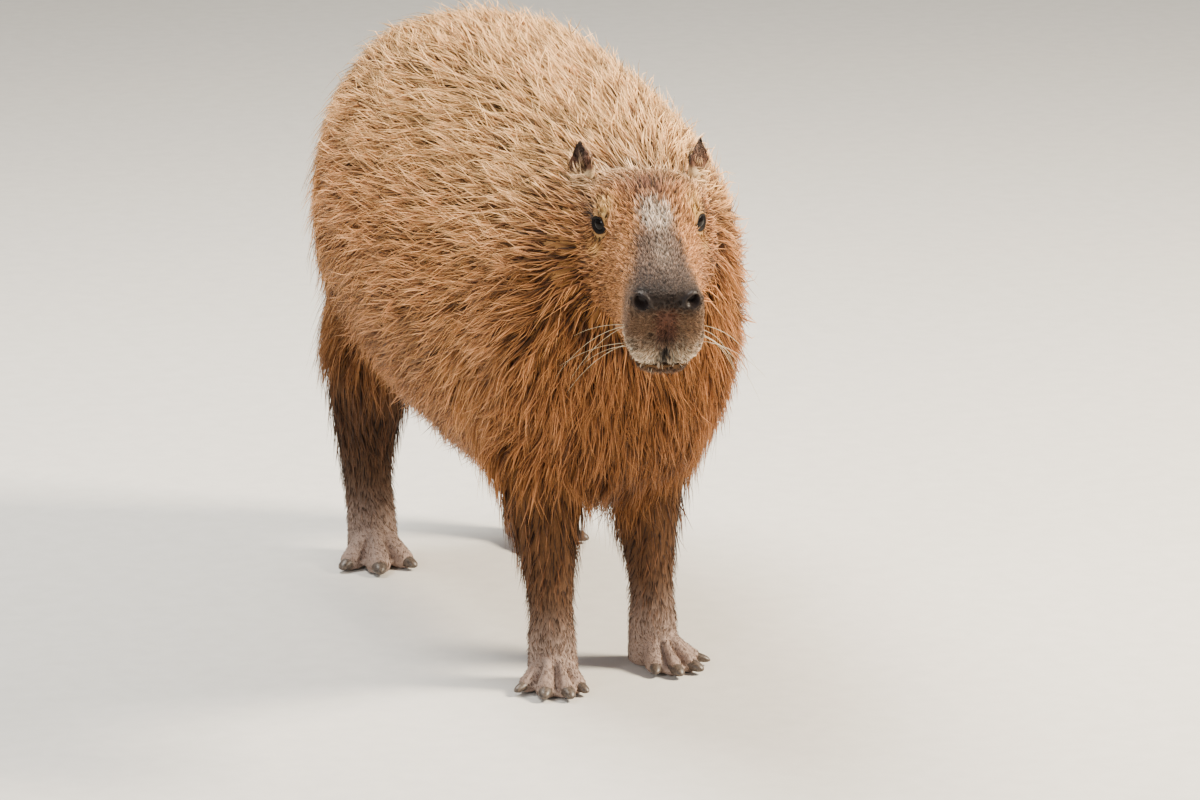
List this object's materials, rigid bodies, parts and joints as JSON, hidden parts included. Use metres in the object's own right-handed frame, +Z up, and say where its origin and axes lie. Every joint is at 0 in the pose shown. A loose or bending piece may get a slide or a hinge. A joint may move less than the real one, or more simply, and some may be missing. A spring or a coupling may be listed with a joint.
{
  "type": "capybara",
  "caption": "Standing capybara with its head turned a little, as a still life-size museum model with a long coarse coat.",
  "frame": {"origin": "middle of the bottom of the bounding box, on the floor that the feet stand on", "axes": "+Z up, the animal faces -Y and its left side is +X"},
  "size_m": [0.368, 1.042, 0.6492],
  "materials": {
    "coat": "long coarse hair, golden brown on the back and darker red brown on the flanks and under the belly, short on the face",
    "ear_skin": "thin grey-brown skin with short hair",
    "paw_skin": "creased grey-brown skin with very short hair",
    "eyeball": "wet, almost black",
    "claw_horn": "blunt grey horn, slightly worn"
  },
  "bodies": {
    "root": {"head": "coat", "left_ear": "ear_skin", "left_eye": "eyeball", "left_fore_inner_claw": "claw_horn", "left_fore_leg": "coat", "left_fore_outer_claw": "claw_horn", "left_fore_paw": "paw_skin", "left_fore_second_claw": "claw_horn", "left_fore_third_claw": "claw_horn", "left_hind_inner_claw": "claw_horn", "left_hind_leg": "coat", "left_hind_middle_claw": "claw_horn", "left_hind_outer_claw": "claw_horn", "left_hind_paw": "paw_skin", "neck": "coat", "right_ear": "ear_skin", "right_eye": "eyeball", "right_fore_inner_claw": "claw_horn", "right_fore_leg": "coat", "right_fore_outer_claw": "claw_horn", "right_fore_paw": "paw_skin", "right_fore_second_claw": "claw_horn", "right_fore_third_claw": "claw_horn", "right_hind_inner_claw": "claw_horn", "right_hind_leg": "coat", "right_hind_middle_claw": "claw_horn", "right_hind_outer_claw": "claw_horn", "right_hind_paw": "paw_skin", "torso": "coat"}
  },
  "joints": []
}
